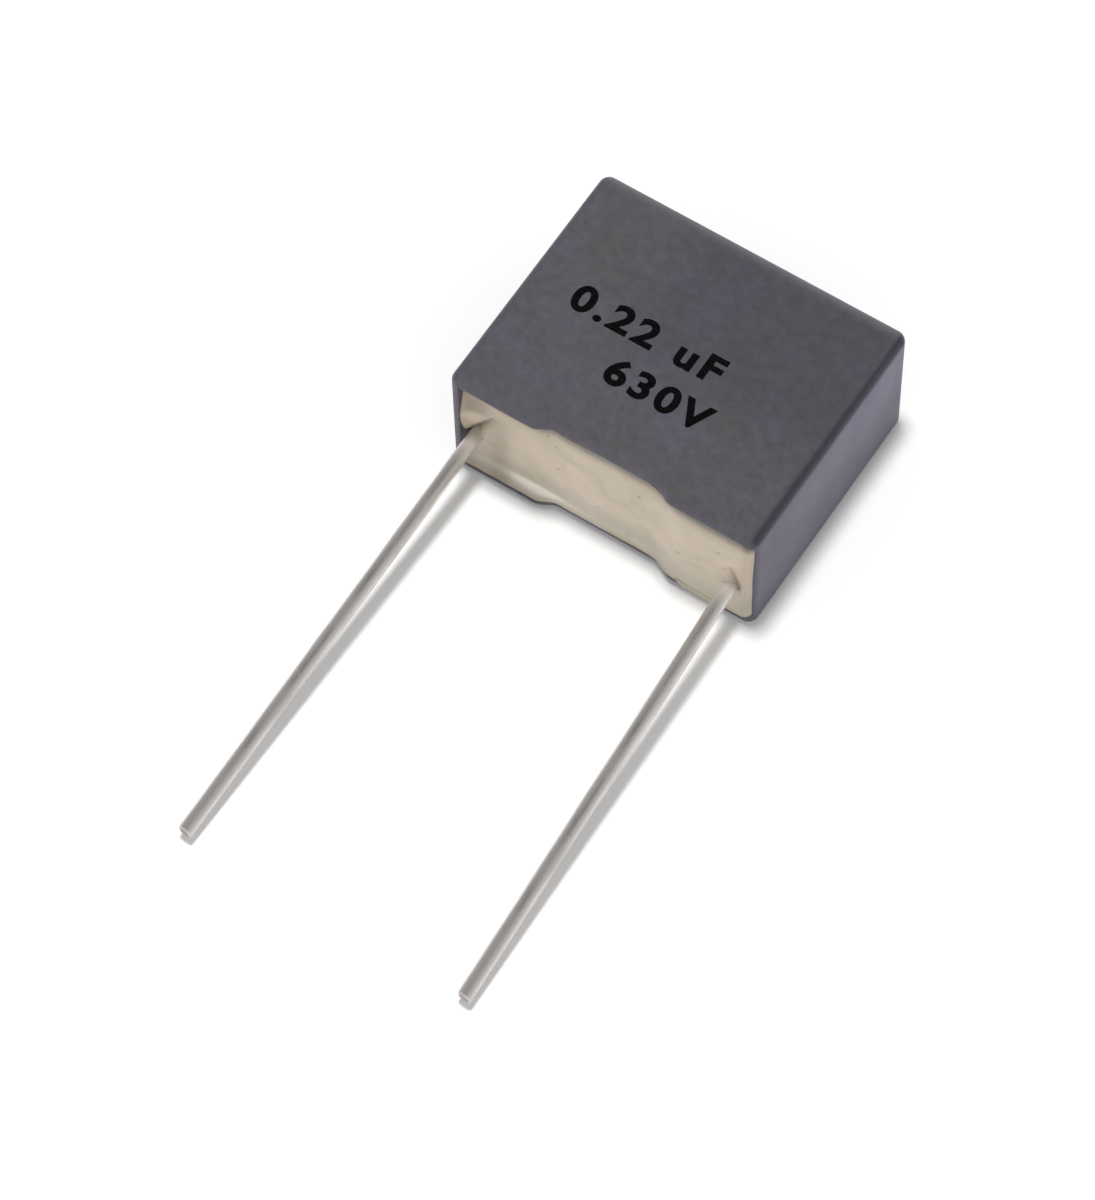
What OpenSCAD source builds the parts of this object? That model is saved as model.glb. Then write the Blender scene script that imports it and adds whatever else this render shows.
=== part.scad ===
// Boxed film capacitor with two wire leads, lying on one broad face.
// X runs along the box between the leads, Y towards the closed end, Z up through the thickness.
// The origin is midway between the leads, on the plane of the feet, at half thickness. Millimetres.

/* [Case] */
// Length of the box, along the row of leads
case_length = 18; // [17.4:0.1:20]
// Height of the box, from the feet to the closed end
case_height = 14.5; // [13:0.1:18]
// Thickness of the box, between its broad faces
case_thickness = 8.5; // [7.5:0.1:10]
// Thickness of the four side walls
wall = 0.6; // [0.4:0.05:0.8]
// Thickness of the closed end
end_wall = 0.8; // [0.6:0.05:1.2]
// Radius on the outer edges
edge_round = 0.6; // [0.3:0.05:0.7]
// Length of each foot along the long walls
foot_length = 4.9; // [3:0.1:6]
// Height of the feet above the notched part of the rim
foot_rise = 0.5; // [0.2:0.05:0.6]
// Length of the slope between a foot and the notch
foot_slope = 1.2; // [0.4:0.1:2]

/* [Resin] */
// Depth of the resin face behind the plane of the feet
resin_depth = 0.6; // [0.3:0.05:1]
// Least resin between the winding and the closed end
resin_end = 0.5; // [0.3:0.05:1]
// Least resin between the winding and the broad walls
resin_side = 0.4; // [0.2:0.05:0.8]
// Resin between the winding and the lead end's face
resin_cover = 1.4; // [1:0.1:2]

/* [Winding] */
// Thickness of the sprayed metal on each end of the roll
spray_thickness = 0.5; // [0.3:0.05:0.8]
// How deep the lead wire is sunk into the spray where it is welded
weld_sink = 0.15; // [0.1:0.05:0.2]

/* [Leads] */
// Distance from each end of the box to the lead's centre, at its welded end
lead_inset = 1.5; // [1.3:0.05:2]
// How far the leads are set below half the thickness of the box
lead_set = 0.9; // [0:0.05:1.2]
// Diameter of the lead wire
lead_wire = 0.8; // [0.6:0.05:0.9]
// Length of lead along the end spray, from the lead end of the winding
weld_length = 6.4; // [3:0.1:7]
// Angle by which each lead leans outwards
lead_spread = 1.2; // [0:0.1:3]
// Distance from the plane of the feet to the corner of the lead's bend
bend_gap = 0.8; // [0.6:0.05:3]
// Radius of the bend, to the middle of the wire
bend_radius = 4; // [2:0.1:10]
// How far bending has drawn the wire's radius in
bend_thin = 0.01; // [0.005:0.005:0.03]
// Length of lead from the corner of the bend to the tip
lead_free = 24.3; // [8:0.1:30]
// Gap between the wire's tip and the plane that the lower broad face lies on
tip_lift = 0.4; // [0.1:0.1:1.5]

/* [Hidden] */
// Length of a cut through a face, beyond that face
over = 1;
inner_length = case_length - 2 * wall;
inner_thickness = case_thickness - 2 * wall;
inner_end = case_height - end_wall;
notch_half = case_length / 2 - foot_length;
wire_r = lead_wire / 2;
lead_pitch = case_length - 2 * lead_inset;
spray_face = lead_pitch / 2 - wire_r + weld_sink;
film_half = spray_face - spray_thickness;
roll_near = resin_depth + resin_cover;
roll_far = inner_end - resin_end;
roll_r = inner_thickness / 2 - resin_side;
weld_end = roll_near + weld_length;
// The leads leave the box level, bend just outside it and come down by this much to the tip
tip_drop = case_thickness / 2 - wire_r - tip_lift - lead_set;
lead_droop = asin(tip_drop / lead_free);
bend_trim = bend_radius * tan(lead_droop / 2);
lead_stub = (weld_end + bend_gap) / cos(lead_spread) - bend_trim;
lead_run = lead_free - bend_trim;
// Angle by which the bend reaches into the straight run on either side
bend_lap = 1;
case_grey = [0.31, 0.30, 0.34];
resin_beige = [0.73, 0.68, 0.62];
film_silver = [0.72, 0.73, 0.75];
spray_grey = [0.55, 0.55, 0.56];
tin = [0.75, 0.74, 0.73];

// Rectangle centred on the origin with four rounded corners
module rounded_plate(w, h, r) {
    square([w - 2 * r, h], center = true);
    square([w, h - 2 * r], center = true);
    for (x = [-1, 1], y = [-1, 1])
        translate([x * (w / 2 - r), y * (h / 2 - r)])
        circle(r = r, $fn = 48);
}

// Outer form of the box: rounded on every edge but those of the open end
module case_form() {
    intersection() {
        translate([0, case_height, 0])
            rotate([90, 0, 0])
            linear_extrude(height = case_height)
            rounded_plate(case_length, case_thickness, edge_round);
        translate([0, 0, -case_thickness / 2 - over])
            linear_extrude(height = case_thickness + 2 * over)
            rounded_plate(case_length, 2 * case_height, edge_round);
        translate([-case_length / 2 - over, 0, 0])
            rotate([90, 0, 90])
            linear_extrude(height = case_length + 2 * over)
            rounded_plate(2 * case_height, case_thickness, edge_round);
    }
}

// Space inside the box from a given distance behind the plane of the feet
module case_space(from) {
    translate([-inner_length / 2, from, -inner_thickness / 2])
        cube([inner_length, inner_end - from, inner_thickness]);
}

module case() {
    color(case_grey)
    difference() {
        case_form();
        case_space(-over);
        translate([0, 0, -case_thickness / 2 - over])
            linear_extrude(height = case_thickness + 2 * over)
            polygon([
                [-notch_half - foot_slope * over / foot_rise, -over],
                [notch_half + foot_slope * over / foot_rise, -over],
                [notch_half - foot_slope, foot_rise],
                [-notch_half + foot_slope, foot_rise]
            ]);
    }
}

// Flattened roll between two planes across its axis
module roll(from, to) {
    translate([from, (roll_near + roll_far) / 2, 0])
        rotate([90, 0, 90])
        linear_extrude(height = to - from) {
            square([roll_far - roll_near - 2 * roll_r, 2 * roll_r], center = true);
            for (s = [-1, 1])
                translate([s * ((roll_far - roll_near) / 2 - roll_r), 0])
                circle(r = roll_r, $fn = 96);
        }
}

module film_winding() {
    color(film_silver) roll(-film_half, film_half);
}

// One lead on the right: it leans outwards from its welded end, and bends down outside the box
module lead() {
    translate([lead_pitch / 2, weld_end, -lead_set])
        rotate([0, 0, lead_spread]) {
            rotate([90, 0, 0])
                cylinder(r = wire_r, h = lead_stub, $fn = 48);
            translate([0, -lead_stub, -bend_radius]) {
                rotate([0, -90, 0])
                    rotate([0, 0, -lead_droop - bend_lap])
                    rotate_extrude(angle = lead_droop + 2 * bend_lap, $fn = 96)
                    translate([bend_radius, 0])
                    circle(r = wire_r - bend_thin, $fn = 48);
                rotate([lead_droop, 0, 0])
                    translate([0, 0, bend_radius])
                    rotate([90, 0, 0])
                    cylinder(r = wire_r, h = lead_run, $fn = 48);
            }
        }
}

module lead_right() {
    color(tin) lead();
}

module lead_left() {
    color(tin) mirror([1, 0, 0]) lead();
}

module end_spray_right() {
    color(spray_grey)
    difference() {
        roll(film_half, spray_face);
        lead();
    }
}

module end_spray_left() {
    color(spray_grey)
    mirror([1, 0, 0])
    difference() {
        roll(film_half, spray_face);
        lead();
    }
}

module resin_fill() {
    color(resin_beige)
    difference() {
        case_space(resin_depth);
        roll(-spray_face, spray_face);
        lead();
        mirror([1, 0, 0]) lead();
    }
}

case();
resin_fill();
film_winding();
end_spray_left();
end_spray_right();
lead_left();
lead_right();
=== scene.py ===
"""Boxed film capacitor lying on its broad face: moulded case, potting resin, tinned leads and rating print.
Around it are a white floor, a soft box and a light tent."""
import math
import random

import bmesh
import bpy
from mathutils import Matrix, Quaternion, Vector, noise


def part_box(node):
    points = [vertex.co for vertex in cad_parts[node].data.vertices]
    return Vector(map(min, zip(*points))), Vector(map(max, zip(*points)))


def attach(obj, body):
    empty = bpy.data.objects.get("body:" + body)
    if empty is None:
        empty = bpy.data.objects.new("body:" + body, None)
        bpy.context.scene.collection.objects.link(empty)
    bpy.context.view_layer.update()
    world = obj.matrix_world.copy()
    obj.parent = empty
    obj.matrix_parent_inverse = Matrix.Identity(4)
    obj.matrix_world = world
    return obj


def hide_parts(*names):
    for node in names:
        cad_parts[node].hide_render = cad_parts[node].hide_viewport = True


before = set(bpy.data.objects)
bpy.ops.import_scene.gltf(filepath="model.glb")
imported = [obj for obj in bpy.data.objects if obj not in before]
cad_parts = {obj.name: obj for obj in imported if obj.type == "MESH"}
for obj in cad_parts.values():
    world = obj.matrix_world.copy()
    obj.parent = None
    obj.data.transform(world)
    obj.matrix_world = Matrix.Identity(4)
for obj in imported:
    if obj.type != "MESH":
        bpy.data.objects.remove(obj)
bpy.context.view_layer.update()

# Sizes in metres, the same values as in the part's source
MM = 0.001
case_low, case_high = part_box("case")
resin_low, resin_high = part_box("resin_fill")
case_half_length = case_high.x
case_half_thickness = case_high.z
case_height = case_high.y
case_wall = case_half_length - resin_high.x
edge_round = 0.6 * MM
foot_length = 4.9 * MM
foot_rise = 0.5 * MM
foot_slope = 1.2 * MM
lead_x = 7.5 * MM
lead_z = -0.9 * MM
wire_radius = 0.4 * MM
weld_end = 8.4 * MM
lead_spread = math.radians(1.2)
bend_gap = 0.8 * MM
bend_radius = 4 * MM
lead_free = 24.3 * MM
tip_lift = 0.4 * MM

# Finer sizes that only the eye needs
inner_rim_round = 0.05 * MM
outer_rim_round = 0.55 * MM
inner_corner_round = 0.02 * MM
face_sink = 0.03 * MM
resin_left_depth = 0.58 * MM
resin_right_depth = 0.03 * MM

# Points closer than these are made one: on the case, and on thinner pieces
case_merge_gap = 1e-6
fine_merge_gap = 1e-7
# Most of a noise pattern lies between these two values
noise_low, noise_high = 0.3, 0.7


def srgb(code):
    """Linear colour of an sRGB hex value."""
    parts = [int(code[i:i + 2], 16) / 255 for i in (1, 3, 5)]
    return [p / 12.92 if p <= 0.04045 else ((p + 0.055) / 1.055) ** 2.4 for p in parts] + [1.0]


def add(tree, kind, inputs=None, stops=(), **settings):
    """Adds a node with its settings and colour stops, and sets or links its inputs."""
    made = tree.nodes.new(kind)
    for name, value in settings.items():
        setattr(made, name, value)
    for name, value in (inputs or {}).items():
        if isinstance(value, bpy.types.NodeSocket):
            tree.links.new(value, made.inputs[name])
        else:
            made.inputs[name].default_value = value
    for count, (place, code) in enumerate(stops):
        stop = made.color_ramp.elements[count] if count < 2 else made.color_ramp.elements.new(place)
        stop.position = place
        stop.color = srgb(code)
    return made


def new_material(name):
    """An empty node material: the material, its tree and its output."""
    material = bpy.data.materials.new(name)
    material.use_nodes = True
    material.node_tree.nodes.clear()
    return material, material.node_tree, add(material.node_tree, "ShaderNodeOutputMaterial")


def moulded_polyester():
    """Grey glass-filled polyester (PBT), injection moulded against a spark-eroded tool.
    The eye sees an even satin grey with a fine grain and faint clouds where the melt flowed.
    Painted shade darkens its edges and broad faces, a painted highlight lightens the closed end's edges,
    and painted violet light lightens the right end."""
    # Flow clouds, mottle of the glass filler under the skin, and the tool's grain.
    # The grain is 0.05 mm on the real part, and drawn coarser so that it shows
    cloud_size, mottle_size, grain_size = 3 * MM, 0.6 * MM, 0.14 * MM
    grain_depth = 0.012 * MM
    material, tree, out = new_material("moulded_polyester_grey")
    place = add(tree, "ShaderNodeTexCoord").outputs["Object"]
    clouds = add(tree, "ShaderNodeTexNoise", {
        "Vector": place, "Scale": 1 / cloud_size, "Detail": 3.0, "Roughness": 0.55})
    tint = add(tree, "ShaderNodeValToRGB", {"Fac": clouds.outputs["Fac"]}, [
        (noise_low, "#525454"), (0.5, "#57545A"), (noise_high, "#595660")])
    mottle = add(tree, "ShaderNodeTexNoise", {
        "Vector": place, "Scale": 1 / mottle_size, "Detail": 4.0, "Roughness": 0.7})
    speck = add(tree, "ShaderNodeMixRGB", {
        "Fac": 0.42, "Color1": tint.outputs["Color"], "Color2": mottle.outputs["Fac"]},
        blend_type="SOFT_LIGHT")
    grain = add(tree, "ShaderNodeTexNoise", {
        "Vector": place, "Scale": 1 / grain_size, "Detail": 2.0, "Roughness": 0.6})
    # Painted on the mesh: red is painted shade on the edges and broad faces, green a painted highlight,
    # blue painted violet light on the right end
    painted = add(tree, "ShaderNodeVertexColor", layer_name="painted_light")
    parts = add(tree, "ShaderNodeSeparateColor", {"Color": painted.outputs["Color"]})
    violet_lit = add(tree, "ShaderNodeMixRGB", {
        "Fac": parts.outputs["Blue"], "Color1": speck.outputs["Color"], "Color2": srgb("#7E7896")})
    back_edge_lit = add(tree, "ShaderNodeMixRGB", {
        "Fac": parts.outputs["Green"], "Color1": violet_lit.outputs["Color"], "Color2": srgb("#777678")})
    edge_shaded = add(tree, "ShaderNodeMixRGB", {
        "Fac": parts.outputs["Red"], "Color1": back_edge_lit.outputs["Color"], "Color2": srgb("#2C2B30")})
    gloss = add(tree, "ShaderNodeMapRange", {
        "Value": clouds.outputs["Fac"], "From Min": noise_low, "From Max": noise_high,
        "To Min": 0.42, "To Max": 0.52})
    bump = add(tree, "ShaderNodeBump", {
        "Height": grain.outputs["Fac"], "Strength": 0.35, "Distance": grain_depth})
    shade = add(tree, "ShaderNodeBsdfPrincipled", {
        "Base Color": edge_shaded.outputs["Color"], "Roughness": gloss.outputs["Result"], "IOR": 1.5,
        "Specular IOR Level": 0.45, "Specular Tint": srgb("#E4D8F8"),
        "Sheen Weight": 0.12, "Sheen Roughness": 0.35, "Sheen Tint": srgb("#9690D8"),
        "Normal": bump.outputs["Normal"]})
    tree.links.new(shade.outputs["BSDF"], out.inputs["Surface"])
    return material


def cast_resin():
    """Mineral-filled potting resin, poured and cured in the case.
    The eye sees an opaque cream with soft yellow and grey patches, a smooth skin and a few pin bubbles."""
    # Patches where filler has settled, and the ripple of the skin
    patch_size, ripple_size = 2.5 * MM, 0.5 * MM
    ripple_depth = 0.03 * MM
    material, tree, out = new_material("cast_resin_cream")
    place = add(tree, "ShaderNodeTexCoord").outputs["Object"]
    patches = add(tree, "ShaderNodeTexNoise", {
        "Vector": place, "Scale": 1 / patch_size, "Detail": 3.0, "Roughness": 0.6, "Distortion": 0.6})
    tint = add(tree, "ShaderNodeValToRGB", {"Fac": patches.outputs["Fac"]}, [
        (0.28, "#BFB496"), (0.45, "#CDBFA8"), (0.6, "#D5C4B0"), (0.75, "#DACBBA")])
    # Painted on the mesh: red is a darker green-grey, green painted shade in the gaps, under the rims,
    # by the left wall and beside the left lead, blue a painted highlight along the low wall
    painted = add(tree, "ShaderNodeVertexColor", layer_name="skin")
    parts = add(tree, "ShaderNodeSeparateColor", {"Color": painted.outputs["Color"]})
    grey_green_mix = add(tree, "ShaderNodeMixRGB", {
        "Fac": parts.outputs["Red"], "Color1": tint.outputs["Color"], "Color2": srgb("#8A948B")})
    painted_highlight = add(tree, "ShaderNodeMixRGB", {
        "Fac": parts.outputs["Blue"], "Color1": grey_green_mix.outputs["Color"], "Color2": srgb("#EEE8DC")})
    painted_shade_mix = add(tree, "ShaderNodeMixRGB", {
        "Fac": parts.outputs["Green"], "Color1": painted_highlight.outputs["Color"], "Color2": srgb("#3A3028")})
    ripple = add(tree, "ShaderNodeTexNoise", {"Vector": place, "Scale": 1 / ripple_size, "Detail": 2.0})
    gloss = add(tree, "ShaderNodeMapRange", {
        "Value": ripple.outputs["Fac"], "From Min": noise_low, "From Max": noise_high,
        "To Min": 0.36, "To Max": 0.48})
    bump = add(tree, "ShaderNodeBump", {
        "Height": ripple.outputs["Fac"], "Strength": 0.4, "Distance": ripple_depth})
    shade = add(tree, "ShaderNodeBsdfPrincipled", {
        "Base Color": painted_shade_mix.outputs["Color"], "Roughness": gloss.outputs["Result"], "IOR": 1.5,
        "Normal": bump.outputs["Normal"]})
    tree.links.new(shade.outputs["BSDF"], out.inputs["Surface"])
    return material


def tinned_wire():
    """Drawn copper wire, hot-dip tinned.
    The eye sees a warm silver with fine lines along the wire and dull clouds where the tin has aged.
    Where it leaves the box, a cream tint is a painted reflection of the resin face."""
    # How often a pattern changes per mm along the wire and per turn around it.
    # A draw line is about 0.1 mm wide and many mm long
    draw_lines, aged_clouds = (0.15, 26.0, 1.0), (0.3, 2.5, 1.0)
    line_depth = 0.01 * MM
    # The painted reflection's reach in mm along the wire, and how much of the metal it hides
    reflection_start, reflection_reach, reflection_cover = weld_end / MM, 1.8, 0.38
    material, tree, out = new_material("tinned_copper_wire")
    # u runs along the wire in mm, v once around it
    place = add(tree, "ShaderNodeUVMap", uv_map="along").outputs["UV"]
    along = add(tree, "ShaderNodeSeparateXYZ", {"Vector": place})
    # A cream tint near the root: painted reflection of the resin face
    film = add(tree, "ShaderNodeMapRange", {
        "Value": along.outputs["X"], "From Min": reflection_start, "From Max": reflection_start + reflection_reach,
        "To Min": reflection_cover, "To Max": 0.0}, interpolation_type="SMOOTHSTEP")
    lines_at = add(tree, "ShaderNodeMapping", {"Vector": place, "Scale": draw_lines})
    lines = add(tree, "ShaderNodeTexNoise", {
        "Vector": lines_at.outputs["Vector"], "Scale": 1.0, "Detail": 2.0})
    clouds_at = add(tree, "ShaderNodeMapping", {"Vector": place, "Scale": aged_clouds})
    clouds = add(tree, "ShaderNodeTexNoise", {
        "Vector": clouds_at.outputs["Vector"], "Scale": 1.0, "Detail": 3.0})
    tint = add(tree, "ShaderNodeValToRGB", {"Fac": clouds.outputs["Fac"]}, [
        (noise_low, "#BCB7B2"), (0.5, "#CDC8C4"), (noise_high, "#DAD6D2")])
    resin_reflected = add(tree, "ShaderNodeMixRGB", {
        "Fac": film.outputs["Result"], "Color1": tint.outputs["Color"], "Color2": srgb("#D6CCC2")})
    gloss = add(tree, "ShaderNodeMapRange", {
        "Value": clouds.outputs["Fac"], "From Min": noise_low, "From Max": noise_high,
        "To Min": 0.38, "To Max": 0.20})
    # Where the tin has aged, a thin oxide skin scatters some of the light
    bare = add(tree, "ShaderNodeMapRange", {
        "Value": clouds.outputs["Fac"], "From Min": noise_low, "From Max": noise_high,
        "To Min": 0.56, "To Max": 0.92})
    # Less metal under the painted reflection
    metal = add(tree, "ShaderNodeMath", {
        0: bare.outputs["Result"], 1: film.outputs["Result"]}, operation="SUBTRACT", use_clamp=True)
    bump = add(tree, "ShaderNodeBump", {
        "Height": lines.outputs["Fac"], "Strength": 0.3, "Distance": line_depth})
    shade = add(tree, "ShaderNodeBsdfPrincipled", {
        "Base Color": resin_reflected.outputs["Color"], "Metallic": metal.outputs["Value"],
        "Roughness": gloss.outputs["Result"], "Normal": bump.outputs["Normal"]})
    tree.links.new(shade.outputs["BSDF"], out.inputs["Surface"])
    return material


def sheared_wire():
    """End of the wire where the lead was sheared off, with tin smeared over the copper.
    The eye sees a dull pinkish grey face with fine shear lines."""
    line_length, line_width, line_depth = 0.6 * MM, 0.06 * MM, 0.01 * MM
    material, tree, out = new_material("sheared_wire_end")
    place = add(tree, "ShaderNodeTexCoord").outputs["Object"]
    lines_at = add(tree, "ShaderNodeMapping", {
        "Vector": place, "Scale": (1 / line_length, 1 / line_length, 1 / line_width)})
    lines = add(tree, "ShaderNodeTexNoise", {
        "Vector": lines_at.outputs["Vector"], "Scale": 1.0, "Detail": 2.0})
    tint = add(tree, "ShaderNodeValToRGB", {"Fac": lines.outputs["Fac"]}, [
        (0.35, "#8F8580"), (0.65, "#B5ACA6")])
    bump = add(tree, "ShaderNodeBump", {
        "Height": lines.outputs["Fac"], "Strength": 0.4, "Distance": line_depth})
    shade = add(tree, "ShaderNodeBsdfPrincipled", {
        "Base Color": tint.outputs["Color"], "Metallic": 1.0, "Roughness": 0.45,
        "Normal": bump.outputs["Normal"]})
    tree.links.new(shade.outputs["BSDF"], out.inputs["Surface"])
    return material


def printing_ink():
    """Black ink, stamped on the case.
    The eye sees a dense matt black that lets a little of the case's grain through."""
    grain_size, grain_depth = 0.2 * MM, 0.01 * MM
    material, tree, out = new_material("printing_ink_black")
    place = add(tree, "ShaderNodeTexCoord").outputs["Object"]
    grain = add(tree, "ShaderNodeTexNoise", {"Vector": place, "Scale": 1 / grain_size, "Detail": 2.0})
    tint = add(tree, "ShaderNodeValToRGB", {"Fac": grain.outputs["Fac"]}, [
        (0.35, "#030304"), (0.7, "#0C0B0D")])
    bump = add(tree, "ShaderNodeBump", {
        "Height": grain.outputs["Fac"], "Strength": 0.3, "Distance": grain_depth})
    shade = add(tree, "ShaderNodeBsdfPrincipled", {
        "Base Color": tint.outputs["Color"], "Roughness": 0.75, "IOR": 1.5, "Specular IOR Level": 0.12,
        "Normal": bump.outputs["Normal"]})
    tree.links.new(shade.outputs["BSDF"], out.inputs["Surface"])
    return material


def metallised_film():
    """Polypropylene film with a vapour-thin metal layer, wound into a flat roll.
    The eye sees a silver-grey bundle with the edges of its turns as fine lines."""
    # Turns: 6 micrometres on the real roll, drawn at about 0.6 mm so that they show.
    # At scale 1, a wave pattern repeats every pi / 10
    turn_pitch = 0.2 * math.pi * MM
    material, tree, out = new_material("metallised_film_roll")
    place = add(tree, "ShaderNodeTexCoord").outputs["Object"]
    turns = add(tree, "ShaderNodeTexWave", {
        "Vector": place, "Scale": math.pi / 10 / turn_pitch, "Distortion": 1.5, "Detail": 2.0},
        bands_direction="Z")
    tint = add(tree, "ShaderNodeValToRGB", {"Fac": turns.outputs["Fac"]}, [
        (0.2, "#A9ABB0"), (0.8, "#C9CBD0")])
    shade = add(tree, "ShaderNodeBsdfPrincipled", {
        "Base Color": tint.outputs["Color"], "Metallic": 0.6, "Roughness": 0.3})
    tree.links.new(shade.outputs["BSDF"], out.inputs["Surface"])
    return material


def sprayed_zinc():
    """Zinc, flame-sprayed onto the ends of the roll.
    The eye sees a dull grey crust of fine droplets."""
    drop_size, drop_height = 0.12 * MM, 0.05 * MM
    material, tree, out = new_material("sprayed_zinc")
    place = add(tree, "ShaderNodeTexCoord").outputs["Object"]
    drops = add(tree, "ShaderNodeTexVoronoi", {"Vector": place, "Scale": 1 / drop_size})
    tint = add(tree, "ShaderNodeValToRGB", {"Fac": drops.outputs["Distance"]}, [
        (0.0, "#9C9DA0"), (0.8, "#717276")])
    bump = add(tree, "ShaderNodeBump", {
        "Height": drops.outputs["Distance"], "Strength": 0.8, "Distance": drop_height})
    shade = add(tree, "ShaderNodeBsdfPrincipled", {
        "Base Color": tint.outputs["Color"], "Metallic": 0.9, "Roughness": 0.6,
        "Normal": bump.outputs["Normal"]})
    tree.links.new(shade.outputs["BSDF"], out.inputs["Surface"])
    return material


def finish_piece(name, form, materials, stands_for=(), crease=60):
    """Makes a piece of a finished form, smooths it below the crease angle, and ties it to the frame."""
    mesh = bpy.data.meshes.new(name)
    bmesh.ops.recalc_face_normals(form, faces=form.faces)
    form.to_mesh(mesh)
    form.free()
    piece = bpy.data.objects.new(name, mesh)
    bpy.context.scene.collection.objects.link(piece)
    for material in materials:
        mesh.materials.append(material)
    mesh.shade_smooth()
    mesh.set_sharp_from_angle(angle=math.radians(crease))
    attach(piece, "root")
    if stands_for:
        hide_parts(*stands_for)
    return piece


def smooth_step(t):
    """Rises softly from 0 to 1."""
    t = min(1.0, max(0.0, t))
    return t * t * (3 - 2 * t)


def rise(value, start, run):
    """Rises softly from 0 at the start to 1 after the run."""
    return smooth_step((value - start) / run)


def bell(distance, size):
    """1 at no distance, falling softly to 0 beyond the given size."""
    return math.exp(-(distance / size) ** 2)


def notch(x):
    """How far the rim of a long wall is set back at x: 0 on the feet, 1 in the notch between them."""
    return smooth_step((case_half_length - foot_length - abs(x)) / foot_slope)


def broad_sink(x, y):
    """Depth by which the cooled broad face has sunk at a place on it."""
    across = max(0.0, 1 - (x / (case_half_length - edge_round)) ** 2)
    along = max(0.0, 1 - ((y - case_height / 2) / (case_height / 2 - edge_round)) ** 2)
    return face_sink * across * along


def wall_outline(half_x, half_z, radius):
    """Points of a rounded rectangle: (x, z, long wall or not), with the same count at every size."""
    long_steps, short_steps, corner_steps = 72, 26, 8
    points = []
    for turn in range(4):
        on_long = turn % 2 == 0
        sign = 1 if turn < 2 else -1
        reach = (half_x if on_long else half_z) - radius
        count = long_steps if on_long else short_steps
        for i in range(count + 1):
            s = -reach + 2 * reach * i / count
            points.append((s * sign, half_z * sign, True) if on_long else (half_x * sign, -s * sign, False))
        centre_x = (half_x - radius) * sign
        centre_z = (half_z - radius) * (sign if on_long else -sign)
        start = math.pi / 2 - turn * math.pi / 2
        for i in range(1, corner_steps):
            a = start - math.pi / 2 * i / corner_steps
            points.append((centre_x + radius * math.cos(a), centre_z + radius * math.sin(a), False))
    return points


def bridge(form, rings):
    """Skins a row of rings of equal length."""
    for low, high in zip(rings, rings[1:]):
        for i in range(len(low)):
            j = (i + 1) % len(low)
            form.faces.new((low[i], low[j], high[j], high[i]))


def close_end(form, ring):
    """Closes a flat ring with a fan of faces from its middle."""
    middle = form.verts.new(sum((vert.co for vert in ring), Vector()) / len(ring))
    for vert, following in zip(ring, ring[1:] + ring[:1]):
        form.faces.new((vert, following, middle))


def rim(x, z):
    """Height of the rim at a place on the walls: set back in the notches of the long walls."""
    slack = 0.1 * MM
    on_long = abs(z) > resin_high.z - slack and abs(x) < case_half_length - edge_round
    return foot_rise * notch(x) if on_long else 0.0


def case_painted_light(place):
    """Painted light and shade of the case at a place: painted shade, painted highlight and painted violet
    light.
    Painted shade darkens the edges of its ends, most at the right one, and the rim's two ends.
    The broad faces are painted a little darker away from their left and front edges.
    The closed end's edges have a painted highlight. The right end is painted lighter and violet, most at its
    upper far corner, and painted shade darkens the rest of it."""
    # Over what distance the paint along an edge fades, and how deep the paint of a broad face and of an end
    # reaches
    edge_paint_width, face_skin, end_skin = 0.9 * MM, 0.2 * MM, 0.25 * MM
    # Strengths of the paint, and how far an edge's paint spreads
    right_edge_shade, left_edge_shade, rim_shade_strength, face_shade_strength = 0.95, 0.6, 0.75, 0.57
    right_end_shade_strength, right_end_shade_spared, violet_light_least, violet_light_far, highlight_strength = 0.66, 0.33, 0.45, 0.21, 0.7
    shade_spread, highlight_spread = 2, 1.6
    end_gap = case_half_length - abs(place.x)
    broad_gap = case_half_thickness - abs(place.z)
    by_end, by_rim = (max(0.0, 1 - gap / edge_round) for gap in (end_gap, place.y))
    by_broad, by_back = (max(0.0, 1 - gap / edge_paint_width) for gap in (broad_gap, case_height - place.y))
    # Painted shade along the rounded edges of the ends, and on the rim's two ends
    edge = min(1.0, shade_spread * by_end * by_broad) * (right_edge_shade if place.x > 0 else left_edge_shade)
    rim_end_shade = rim_shade_strength * min(1.0, shade_spread * by_end * by_rim) * (1 - by_broad)
    # Painted shade on the broad faces, growing towards the right and the back
    face_shade_gradient = rise(place.x, -7.5 * MM, 7 * MM) * rise(place.y, 1 * MM, 7 * MM)
    face_shade = face_shade_strength * face_shade_gradient * smooth_step(1 - broad_gap / face_skin) * (1 - by_back)
    # Painted violet light on the right end, most at its upper far corner, and painted shade on the rest of
    # it
    on_right_end = rise(place.x, case_half_length - end_skin, end_skin)
    toward_far_corner = rise(place.y, 2 * MM, 10 * MM) * rise(place.z, -2.5 * MM, 5 * MM)
    violet_light = (violet_light_least + violet_light_far * toward_far_corner) * on_right_end
    right_end_shade = (right_end_shade_strength - right_end_shade_spared * toward_far_corner) * on_right_end
    # A painted highlight along the closed end's edges
    back_edge_highlight = highlight_strength * smooth_step(highlight_spread * by_back) * smooth_step(1 - broad_gap / edge_round)
    return max(edge, rim_end_shade, face_shade, right_end_shade), back_edge_highlight, violet_light


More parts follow.
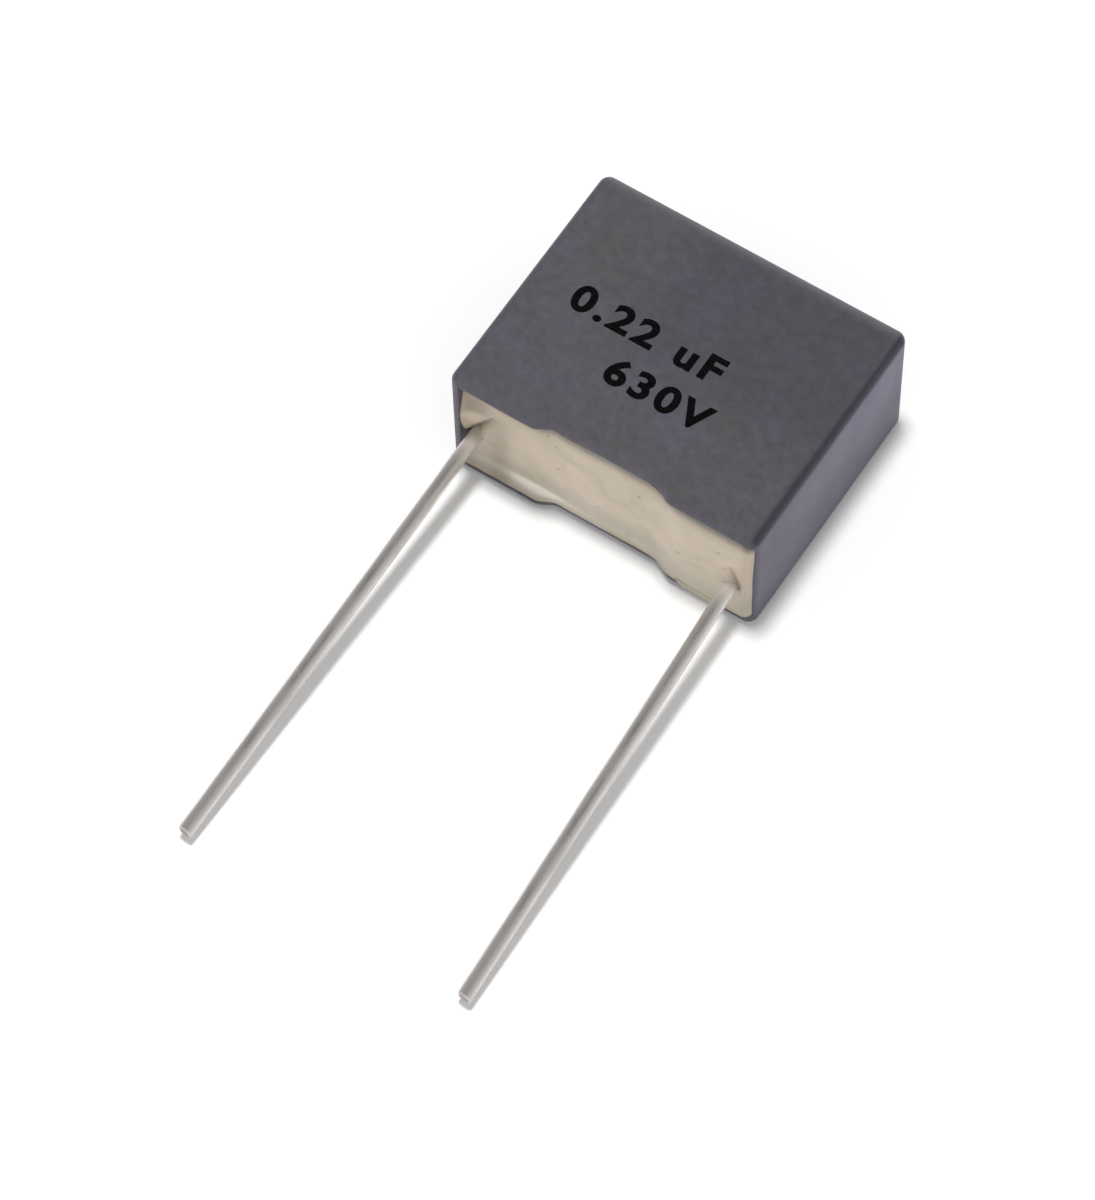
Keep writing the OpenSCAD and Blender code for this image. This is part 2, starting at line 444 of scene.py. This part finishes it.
def moulded_case():
    """The box: outer walls with rounded edges, feet and notches on the rim, and inner walls."""
    form = bmesh.new()
    paint = form.loops.layers.color.new("painted_light")
    inner_end = resin_high.y
    wall_end = case_height - edge_round
    round_steps = 8
    least_round = 1e-7
    # Where the rings lie: down the inner wall, round the rim's inner edge, and up the outer wall
    inner_stations = (0.3, 0.1, 0.04, 0.0)
    inner_round_stations = (0.3, 0.7, 1.0)
    outer_stations = [0.01, 0.03, 0.06] + [i / 24 for i in range(2, 24)] + [0.98, 1.0]
    outer = wall_outline(case_half_length, case_half_thickness, edge_round)
    inner = wall_outline(resin_high.x, resin_high.z, inner_corner_round)

    def ring(outline, place):
        return [form.verts.new(place(x, z, on_long)) for x, z, on_long in outline]

    rings = [ring(inner, lambda x, z, on_long: (x, inner_end, z))]
    for t in inner_stations:
        rings.append(ring(inner, lambda x, z, on_long: (
            x, rim(x, z) + inner_rim_round + (inner_end - rim(x, z)) * t, z)))
    # The rim, with a small round inside and a larger one outside
    for step in inner_round_stations:
        a = step * math.pi / 2
        grow = inner_rim_round * (1 - math.cos(a))
        drop = inner_rim_round * (1 - math.sin(a))
        wider = wall_outline(resin_high.x + grow, resin_high.z + grow, inner_corner_round + grow)
        rings.append(ring(wider, lambda x, z, on_long: (x, rim(x, z) + drop, z)))
    for step in range(round_steps - 1, -1, -1):
        a = step / round_steps * math.pi / 2
        shrink = outer_rim_round * (1 - math.cos(a))
        drop = outer_rim_round * (1 - math.sin(a))
        narrower = wall_outline(
            case_half_length - shrink, case_half_thickness - shrink, edge_round - shrink)
        rings.append(ring(narrower, lambda x, z, on_long: (x, rim(x, z) + drop, z)))

    # The outer walls, which have sunk a little between their edges
    def outer_place(t):
        def place(x, z, on_long):
            y = rim(x, z) + outer_rim_round + (wall_end - rim(x, z) - outer_rim_round) * t
            if on_long:
                z -= math.copysign(broad_sink(x, y), z)
            return x, y, z
        return place

    rings += [ring(outer, outer_place(t)) for t in outer_stations]
    # The rounded edge of the closed end
    for step in range(1, round_steps + 1):
        a = math.pi / 2 * step / round_steps
        shrink = edge_round * (1 - math.cos(a))
        y = wall_end + edge_round * math.sin(a)
        rounded = wall_outline(
            case_half_length - shrink, case_half_thickness - shrink, max(edge_round - shrink, least_round))
        rings.append(ring(rounded, lambda x, z, on_long: (x, y, z)))
    bridge(form, rings)
    close_end(form, rings[-1])
    close_end(form, rings[0])
    bmesh.ops.remove_doubles(form, verts=form.verts, dist=case_merge_gap)
    for face in form.faces:
        for loop in face.loops:
            loop[paint] = (*case_painted_light(loop.vert.co), 1.0)
    piece = finish_piece("moulded_case", form, [moulded_polyester()], ["case"])
    weigh = piece.modifiers.new("flat_walls", "WEIGHTED_NORMAL")
    weigh.weight = 80


def lead_root(side, y):
    """Place of a lead's centre line, across the box, where it passes the given height."""
    return side * (lead_x + (weld_end - y) * math.tan(lead_spread))


def along_groove(x, z, start, end):
    """How far a place is from a straight groove, and how far along it: 0 at the start, 1 at the end."""
    run_x, run_z = end[0] - start[0], end[1] - start[1]
    t = ((x - start[0]) * run_x + (z - start[1]) * run_z) / (run_x ** 2 + run_z ** 2)
    t = min(1.0, max(0.0, t))
    return math.hypot(x - start[0] - t * run_x, z - start[1] - t * run_z), t


# Gaps in the resin's skin, one beside each lead: start, end, width, depth and darkness, which is painted
# shade
resin_gaps = [
    ((-8.38 * MM, -1.55 * MM), (-6.80 * MM, 1.10 * MM), 0.22 * MM, 0.36 * MM, 0.95),
    ((8.12 * MM, -0.95 * MM), (7.62 * MM, 0.60 * MM), 0.25 * MM, 0.14 * MM, 0.84)]


def filled(x):
    """How far up the box was poured at x: 0 at its left end, and 1, to the brim, at its right end."""
    return rise(x, 2.4 * MM, 2.8 * MM)


def resin_level(x):
    """Height of the resin at x, apart from its climb, waves and dips."""
    return resin_left_depth + (resin_right_depth - resin_left_depth) * filled(x)


def from_lead(x, z):
    """Distance of a place on the resin from the nearer lead's surface."""
    side = 1 if x > 0 else -1
    return max(0.0, math.hypot(x - lead_root(side, resin_level(x)), z - lead_z) - wire_radius)


def resin_height(x, z, bubbles):
    """Height of the resin's skin at (x, z)."""
    # How high the resin climbs at each wall and at a lead, how far out from it, and what a notch holds back
    low_climb, top_climb, left_climb, lead_climb = 0.50 * MM, 0.26 * MM, 0.48 * MM, 0.12 * MM
    wall_reach, left_reach, lead_reach = 0.28 * MM, 0.30 * MM, 0.14 * MM
    low_held, top_held = 0.84, 0.75
    # Slow waves of the poured skin, calmer where it is full, and finer ones:
    # their height, size and place in the noise
    slow_wave, slow_x, slow_z, slow_seed, slow_calm = 0.05 * MM, 3.2 * MM, 2.4 * MM, 3.1, 0.7
    fine_wave, fine_size, fine_seed = 0.012 * MM, 0.8 * MM, 7.7
    # How much shallower a gap is at its end, and a bubble's depth as a share of its radius
    gap_fade, bubble_depth = 0.6, 0.7
    # The resin climbs the walls, less far in the notches, where it may not reach over the rim
    climb_low = low_climb * (1 - low_held * notch(x)) * math.exp(-(z - resin_low.z) / wall_reach)
    climb_top = top_climb * (1 - top_held * notch(x)) * math.exp(-(resin_high.z - z) / wall_reach)
    climb_left = left_climb * bell(z - 0.7 * MM, 1.7 * MM) * math.exp(-(x - resin_low.x) / left_reach)
    climb = (1 - filled(x)) * max(climb_low, climb_top, climb_left)
    # Collars are drawn up the leads
    climb = max(climb, lead_climb * math.exp(-from_lead(x, z) / lead_reach))
    slow = noise.noise(Vector((x / slow_x, z / slow_z, slow_seed))) * (1 - slow_calm * filled(x))
    fine = noise.noise(Vector((x / fine_size, z / fine_size, fine_seed)))
    wave = slow_wave * slow + fine_wave * fine
    # Gaps beside the leads, where the resin has shrunk away, and pin bubbles
    dip = 0.0
    for start, end, width, depth, _ in resin_gaps:
        apart, t = along_groove(x, z, start, end)
        dip += depth * bell(apart, width) * (1 - gap_fade * t)
    for bubble_x, bubble_z, size in bubbles:
        apart = math.hypot(x - bubble_x, z - bubble_z) / size
        if apart < 1:
            dip += bubble_depth * size * math.sqrt(1 - apart * apart)
    return resin_level(x) - climb + wave + dip


def resin_paint(x, z):
    """Paint of the resin's skin at (x, z): a darker green-grey, painted shade and a painted highlight.
    drawn-out binder, dark gap, pale dry skin.
    """
    # Strengths of the paint, and how much paler a gap is at its end
    low_tint, lead_tint = 0.60, 0.35
    top_rim_shade, low_rim_shade, left_wall_shade, lead_shadow_strength = 0.88, 0.3, 0.70, 0.52
    foot_highlight, low_wall_highlight = 0.95, 0.4
    gap_fade = 0.3
    to_low, to_top, to_left = z - resin_low.z, resin_high.z - z, x - resin_low.x
    # A darker green-grey low in the box and round the leads
    grey_green = low_tint * rise(-z, 0.4 * MM, 2.0 * MM) + lead_tint * bell(from_lead(x, z), 0.5 * MM)
    # Painted shade under the rims and by the left wall, and the left lead's painted shadow beside it
    under_rim = max(0.0, resin_level(x) - rim(x, resin_high.z))
    gap = max(
        top_rim_shade * bell(max(0.0, to_top - under_rim), 0.85 * MM),
        low_rim_shade * math.exp(-to_low / (0.35 * MM)),
        left_wall_shade * bell(to_left - 0.6 * MM, 1.5 * MM) * rise(z, 0.5 * MM, 0.9 * MM),
        lead_shadow_strength * bell(x + 6.4 * MM, 0.95 * MM) * rise(-z, -2.8 * MM, 1.6 * MM))
    # The gaps beside the leads are darkened with painted shade, less at their ends
    for start, end, width, _, darkness in resin_gaps:
        apart, t = along_groove(x, z, start, end)
        gap = max(gap, darkness * bell(apart, width) * (1 - gap_fade * t))
    # A painted highlight along the low wall, most at the left foot
    painted_highlight = foot_highlight * bell(x + 4.2 * MM, 1.8 * MM) * bell(to_low - 0.45 * MM, 0.45 * MM)
    painted_highlight += low_wall_highlight * bell(to_low - 0.5 * MM, 0.3 * MM) * (1 - filled(x))
    return min(1.0, grey_green), min(1.0, gap), min(1.0, painted_highlight)


def potting_resin():
    """The cast block: plain sides, and a skin with a climbing edge, collars round the leads and bubbles."""
    across, down = 300, 130
    # Pin bubbles: how many, how far out they lie, and their least and greatest radius, in mm
    bubble_count, bubble_x, bubble_z, bubble_least, bubble_most = 22, 7.8, 3.2, 0.05, 0.12
    bubble_seed = 5
    chance = random.Random(bubble_seed)
    bubbles = [
        (chance.uniform(-bubble_x, bubble_x) * MM, chance.uniform(-bubble_z, bubble_z) * MM,
         chance.uniform(bubble_least, bubble_most) * MM) for _ in range(bubble_count)]
    form = bmesh.new()
    paint = form.loops.layers.color.new("skin")
    shown = {}
    grid = []
    for j in range(down + 1):
        z = resin_low.z + (resin_high.z - resin_low.z) * j / down
        row = []
        for i in range(across + 1):
            x = resin_low.x + (resin_high.x - resin_low.x) * i / across
            vert = form.verts.new((x, resin_height(x, z, bubbles), z))
            shown[vert] = resin_paint(x, z)
            row.append(vert)
        grid.append(row)
    for j in range(down):
        for i in range(across):
            form.faces.new((grid[j][i], grid[j][i + 1], grid[j + 1][i + 1], grid[j + 1][i]))
    edge = grid[0][:-1] + [row[-1] for row in grid[:-1]]
    edge += list(reversed(grid[-1][1:])) + [row[0] for row in reversed(grid[1:])]
    back = [form.verts.new((v.co.x, resin_high.y, v.co.z)) for v in edge]
    bridge(form, [back, edge])
    close_end(form, back)
    for face in form.faces:
        for loop in face.loops:
            loop[paint] = (*shown.get(loop.vert, (0.0, 0.0, 0.0)), 1.0)
    finish_piece("potting_resin", form, [resin], ["resin_fill"])


def rim_fall(out):
    """How far the rim's surface falls away at a distance from its inner edge."""
    past = max(0.0, out - (case_wall - outer_rim_round)) / outer_rim_round
    return outer_rim_round * (1 - math.sqrt(max(0.0, 1 - past * past)))


def resin_run(name, start, end, tapers, reach, place, root):
    """A thin run of resin that has spilled over the rim and set there, from start to end along a wall.
    tapers are the lengths over which it comes to its full width at the two ends.
    place gives a point of it, and root is where on the wall it began."""
    along, across = 120, 16
    # It begins inside the rim's inner edge, its middle stands above the rim, and its edges lie in it
    inner, middle_rise, edge_sink, under_depth = -0.14 * MM, 0.035 * MM, 0.012 * MM, 0.05 * MM
    wobble_size, wobble_seed, wobble_share = 1.6 * MM, 2.2, 0.14
    # How dark it is at its inner edge, and how much more at its outer one
    inner_dark, outer_darker = 0.25, 0.35
    form = bmesh.new()
    paint = form.loops.layers.color.new("skin")
    top, under, shown = [], [], {}
    for i in range(along + 1):
        at = start + (end - start) * i / along
        ends = math.sqrt(smooth_step((at - start) / tapers[0]) * smooth_step((end - at) / tapers[1]))
        wobble = 0.5 + 0.5 * noise.noise(Vector((at / wobble_size, reach / MM, wobble_seed)))
        width = inner + (reach * (1 - wobble_share + wobble_share * wobble) - inner) * ends
        grey_green, gap, painted_highlight = resin_paint(*root(at))
        row, low = [], []
        for j in range(across + 1):
            s = j / across
            out = inner + (width - inner) * s
            film = middle_rise * ends * (1 - (2 * s - 1) ** 4) - edge_sink
            row.append(form.verts.new(place(at, out, rim_fall(out) - film)))
            low.append(form.verts.new(place(at, out, rim_fall(out) + under_depth)))
            # The run is darker where it thins out over the case, with painted shade towards the rim's outer
            # round and the skin's painted shade
            shown[row[-1]] = shown[low[-1]] = grey_green, max(gap, inner_dark + outer_darker * s), painted_highlight
        top.append(row)
        under.append(low)
    for sheet in (top, under):
        for a, b in zip(sheet, sheet[1:]):
            for j in range(across):
                form.faces.new((a[j], a[j + 1], b[j + 1], b[j]))
    for a, b, c, d in zip(top, top[1:], under, under[1:]):
        form.faces.new((a[0], b[0], d[0], c[0]))
        form.faces.new((a[-1], b[-1], d[-1], c[-1]))
    for row, low in ((top[0], under[0]), (top[-1], under[-1])):
        for j in range(across):
            form.faces.new((row[j], row[j + 1], low[j + 1], low[j]))
    for face in form.faces:
        for loop in face.loops:
            loop[paint] = (*shown[loop.vert], 1.0)
    bmesh.ops.remove_doubles(form, verts=form.verts, dist=fine_merge_gap)
    finish_piece(name, form, [resin])


def lead_route(side):
    """Centre line of a lead as (point, direction, length so far): level run, gentle bend, free run."""
    level_steps, bend_steps, free_steps = 12, 6, 90
    droop = math.asin((case_half_thickness - wire_radius - tip_lift + lead_z) / lead_free)
    trim = bend_radius * math.tan(droop / 2)
    out = Vector((side * math.sin(lead_spread), -math.cos(lead_spread), 0))
    down = Vector((0, 0, -1))
    start = Vector((side * lead_x, weld_end, lead_z))
    level = (weld_end + bend_gap) / math.cos(lead_spread) - trim
    level_run = [level * i / level_steps for i in range(level_steps + 1)]
    route = [(start + out * length, out, length) for length in level_run]
    elbow = start + out * level
    for i in range(1, bend_steps + 1):
        a = droop * i / bend_steps
        point = elbow + out * bend_radius * math.sin(a) + down * bend_radius * (1 - math.cos(a))
        route.append((point, out * math.cos(a) + down * math.sin(a), level + bend_radius * a))
    bend_end, heading, so_far = route[-1]
    free_run = [(lead_free - trim) * i / free_steps for i in range(1, free_steps + 1)]
    route += [(bend_end + heading * length, heading, so_far + length) for length in free_run]
    return route


def lead_wire(name, side, node):
    """A tinned wire swept along its route, a little uneven from dipping, and sheared off at the tip."""
    around = 40
    # The dipped tin's unevenness: as a share of the radius, its length, and a place in the noise
    swell_share, swell_size, swell_seed = 0.006, 1.6 * MM, 11.0 if side > 0 else 29.0
    # The tip is rolled over on its edge by the shear: share of the radius, and mm back from the end
    tip = [(1.0, 0.15), (0.985, 0.10), (0.94, 0.05), (0.86, 0.015), (0.74, 0.0)]
    tip_length = tip[0][1] * MM
    # It is also cut a little aslant, by this slope and turned by this angle
    slant_slope, slant_turn = 0.12, 0.7
    slack = 1e-6
    form = bmesh.new()
    along = form.loops.layers.uv.new("along")
    route = lead_route(side)
    end_point, end_heading, total = route[-1]
    stations = [(point, heading, so_far, 1.0) for point, heading, so_far in route
                if so_far < total - tip_length]
    stations += [(end_point - end_heading * back * MM, end_heading, total - back * MM, size)
                 for size, back in tip]
    rings, place = [], {}
    for point, heading, so_far, size in stations:
        side_way = heading.cross(Vector((0, 0, 1))).normalized()
        up = side_way.cross(heading).normalized()
        at_tip = so_far > total - tip_length - slack
        ring = []
        for i in range(around):
            a = 2 * math.pi * i / around
            way = side_way * math.cos(a) + up * math.sin(a)
            uneven = noise.noise(Vector((so_far / swell_size, math.cos(a) + swell_seed, math.sin(a))))
            radius = wire_radius * size * (1 - swell_share + swell_share * uneven)
            slant = slant_slope * (wire_radius + radius * math.cos(a - slant_turn)) if at_tip else 0.0
            vert = form.verts.new(point + way * radius - heading * slant)
            place[vert] = (so_far / MM, i / around)
            ring.append(vert)
        rings.append(ring)
    bridge(form, rings)
    start_cap = form.faces.new(list(reversed(rings[0])))
    cut = form.faces.new(rings[-1])
    # A face that closes the turn has v run on past 1
    late_in_turn, early_in_turn = 0.9, 0.1
    for face in form.faces:
        wraps = max(place[v][1] for v in face.verts) > late_in_turn
        for loop in face.loops:
            u, v = place[loop.vert]
            loop[along].uv = (u, v + 1 if wraps and v < early_in_turn else v)
    start_cap.material_index = cut.material_index = 1
    finish_piece(name, form, [wire_tin, wire_end], [node], crease=50)


def rating_row(name, words, left, base, ink):
    """A row of plain rating print, a hair thick, lying on the sunk broad face."""
    letter_height, letter_width, letter_gap, letter_bold = 1.55 * MM, 1.15, 1.2, 0.075 * MM
    # A capital's share of the type's full size
    capital = 0.73
    ink_above, ink_depth = 0.008 * MM, 0.010 * MM
    text = bpy.data.curves.new(name, "FONT")
    text.body = words
    text.size = letter_height / capital
    text.offset = letter_bold
    text.space_character = letter_gap
    text.resolution_u = 6
    holder = bpy.data.objects.new(name, text)
    bpy.context.scene.collection.objects.link(holder)
    flat = bpy.data.meshes.new_from_object(holder.evaluated_get(bpy.context.evaluated_depsgraph_get()))
    bpy.data.objects.remove(holder)
    form = bmesh.new()
    form.from_mesh(flat)
    bpy.data.meshes.remove(flat)
    bmesh.ops.triangulate(form, faces=form.faces)
    bmesh.ops.remove_doubles(form, verts=form.verts, dist=fine_merge_gap)
    for vert in form.verts:
        x = left + vert.co.x * letter_width
        y = base + vert.co.y
        vert.co = (x, y, case_half_thickness - broad_sink(x, y) + ink_above)
    skin = bmesh.ops.extrude_face_region(form, geom=form.faces[:])
    for vert in [v for v in skin["geom"] if isinstance(v, bmesh.types.BMVert)]:
        vert.co.z -= ink_depth
    finish_piece(name, form, [ink], crease=40)


def white_floor():
    """Floor under the part: a pale matt sheet that keeps the part's shadow.
    To the eye and in metal it is lifted a little, so that it shows white."""
    floor_half, floor_gap, floor_lift = 0.6, 0.01 * MM, 0.06
    material, tree, out = new_material("floor_sheet")
    path = add(tree, "ShaderNodeLightPath")
    seen = add(tree, "ShaderNodeMath", {
        0: path.outputs["Is Camera Ray"], 1: path.outputs["Is Glossy Ray"]}, operation="MAXIMUM")
    seen = add(tree, "ShaderNodeMath", {
        0: seen.outputs["Value"], 1: path.outputs["Is Transmission Ray"]}, operation="MAXIMUM")
    lift = add(tree, "ShaderNodeMath", {0: seen.outputs["Value"], 1: floor_lift}, operation="MULTIPLY")
    sheet = add(tree, "ShaderNodeBsdfDiffuse", {"Color": srgb("#F8F8F8")})
    glow = add(tree, "ShaderNodeEmission", {"Color": srgb("#FFFFFF"), "Strength": lift.outputs["Value"]})
    both = add(tree, "ShaderNodeAddShader", {0: sheet.outputs["BSDF"], 1: glow.outputs["Emission"]})
    tree.links.new(both.outputs["Shader"], out.inputs["Surface"])
    mesh = bpy.data.meshes.new("floor")
    level = case_low.z - floor_gap
    corners = [(-1, -1), (1, -1), (1, 1), (-1, 1)]
    mesh.from_pydata([(x * floor_half, y * floor_half, level) for x, y in corners], [], [(0, 1, 2, 3)])
    floor = bpy.data.objects.new("floor", mesh)
    bpy.context.scene.collection.objects.link(floor)
    mesh.materials.append(material)


def soft_lamp(name, way, distance, size, level):
    """A square soft box that shines on the middle of the part from a direction.
    level is how brightly it alone shows a white card."""
    middle = Vector((0, 5 * MM, 0))
    lamp = bpy.data.lights.new(name, "AREA")
    lamp.shape = "SQUARE"
    lamp.size = size
    lamp.energy = math.pi ** 2 * distance ** 2 * level
    holder = bpy.data.objects.new(name, lamp)
    bpy.context.scene.collection.objects.link(holder)
    way = Vector(way).normalized()
    holder.location = middle + way * distance
    holder.rotation_mode = "QUATERNION"
    holder.rotation_quaternion = (-way).to_track_quat("-Z", "Y")
    return holder


def light_tent():
    """Walls of a light tent around the part: dim overhead, brighter towards the floor, right and front."""
    top_level, floor_rise, rise_power = 0.13, 0.34, 0.7
    # Brighter panels: the axis they lie along, and how bright they are at its end
    panels = (("X", 0.30), ("Y", -0.31))
    world = bpy.data.worlds.new("light_tent")
    bpy.context.scene.world = world
    world.use_nodes = True
    tree = world.node_tree
    place = add(tree, "ShaderNodeTexCoord").outputs["Generated"]
    way = add(tree, "ShaderNodeSeparateXYZ", {"Vector": place})
    lowness = add(tree, "ShaderNodeMapRange", {
        "Value": way.outputs["Z"], "From Min": 0.0, "From Max": 1.0, "To Min": 1.0, "To Max": 0.0})
    curve = add(tree, "ShaderNodeMath", {
        0: lowness.outputs["Result"], 1: rise_power}, operation="POWER")
    level = add(tree, "ShaderNodeMath", {
        0: curve.outputs["Value"], 1: floor_rise, 2: top_level}, operation="MULTIPLY_ADD")
    for axis, share in panels:
        panel = add(tree, "ShaderNodeMath", {0: way.outputs[axis], 1: share}, operation="MULTIPLY")
        panel = add(tree, "ShaderNodeMath", {0: panel.outputs["Value"], 1: 0.0}, operation="MAXIMUM")
        level = add(tree, "ShaderNodeMath", {
            0: panel.outputs["Value"], 1: level.outputs["Value"]}, operation="ADD")
    tree.links.new(level.outputs["Value"], tree.nodes["Background"].inputs["Strength"])
    tree.nodes["Background"].inputs["Color"].default_value = srgb("#FFFFFF")


def studio():
    """One soft box overhead, a little to the left and behind, and the camera at the photograph's angle."""
    box_way, box_distance, box_size, box_level = (-0.055, 0.03, 1.0), 0.5, 0.07, 0.70
    scene = bpy.context.scene
    scene.view_settings.view_transform = "Standard"
    key = soft_lamp("soft_box", box_way, box_distance, box_size, box_level)
    key.visible_glossy = False
    # Lens and place as fitted to the photograph's edges
    camera = bpy.data.cameras.new("camera")
    camera.sensor_width = 36
    camera.lens = 162.049857
    camera.clip_start, camera.clip_end = 0.01, 5
    holder = bpy.data.objects.new("camera", camera)
    scene.collection.objects.link(holder)
    holder.location = Vector((72.9574, -110.2585, 234.2974)) * MM
    holder.rotation_mode = "QUATERNION"
    holder.rotation_quaternion = Quaternion((0.9298226, 0.2331323, 0.0769793, 0.2741412))
    scene.camera = holder


moulded_case()
resin = cast_resin()
potting_resin()
run_reach = 0.5 * MM
resin_run("resin_run_end", -3.6 * MM, 3.66 * MM, (0.6 * MM, 0.12 * MM), run_reach,
          lambda at, out, y: (resin_high.x + out, y, at),
          lambda at: (resin_high.x, at))
resin_run("resin_run_foot", 4.4 * MM, 7.5 * MM, (0.7 * MM, 0.7 * MM), run_reach,
          lambda at, out, y: (at, y + rim(at, resin_low.z), resin_low.z - out),
          lambda at: (at, resin_low.z))
wire_tin, wire_end = tinned_wire(), sheared_wire()
lead_wire("left_lead_wire", -1, "lead_left")
lead_wire("right_lead_wire", 1, "lead_right")
ink = printing_ink()
rating_row("rating_value", "0.22 uF", -6.3 * MM, 6.7 * MM, ink)
rating_row("rating_voltage", "630V", -2.6 * MM, 4.0 * MM, ink)
for node, finish in (("film_winding", metallised_film()), ("end_spray_left", sprayed_zinc()),
                     ("end_spray_right", sprayed_zinc())):
    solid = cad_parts[node]
    solid.data.materials.clear()
    solid.data.materials.append(finish)
white_floor()
light_tent()
studio()
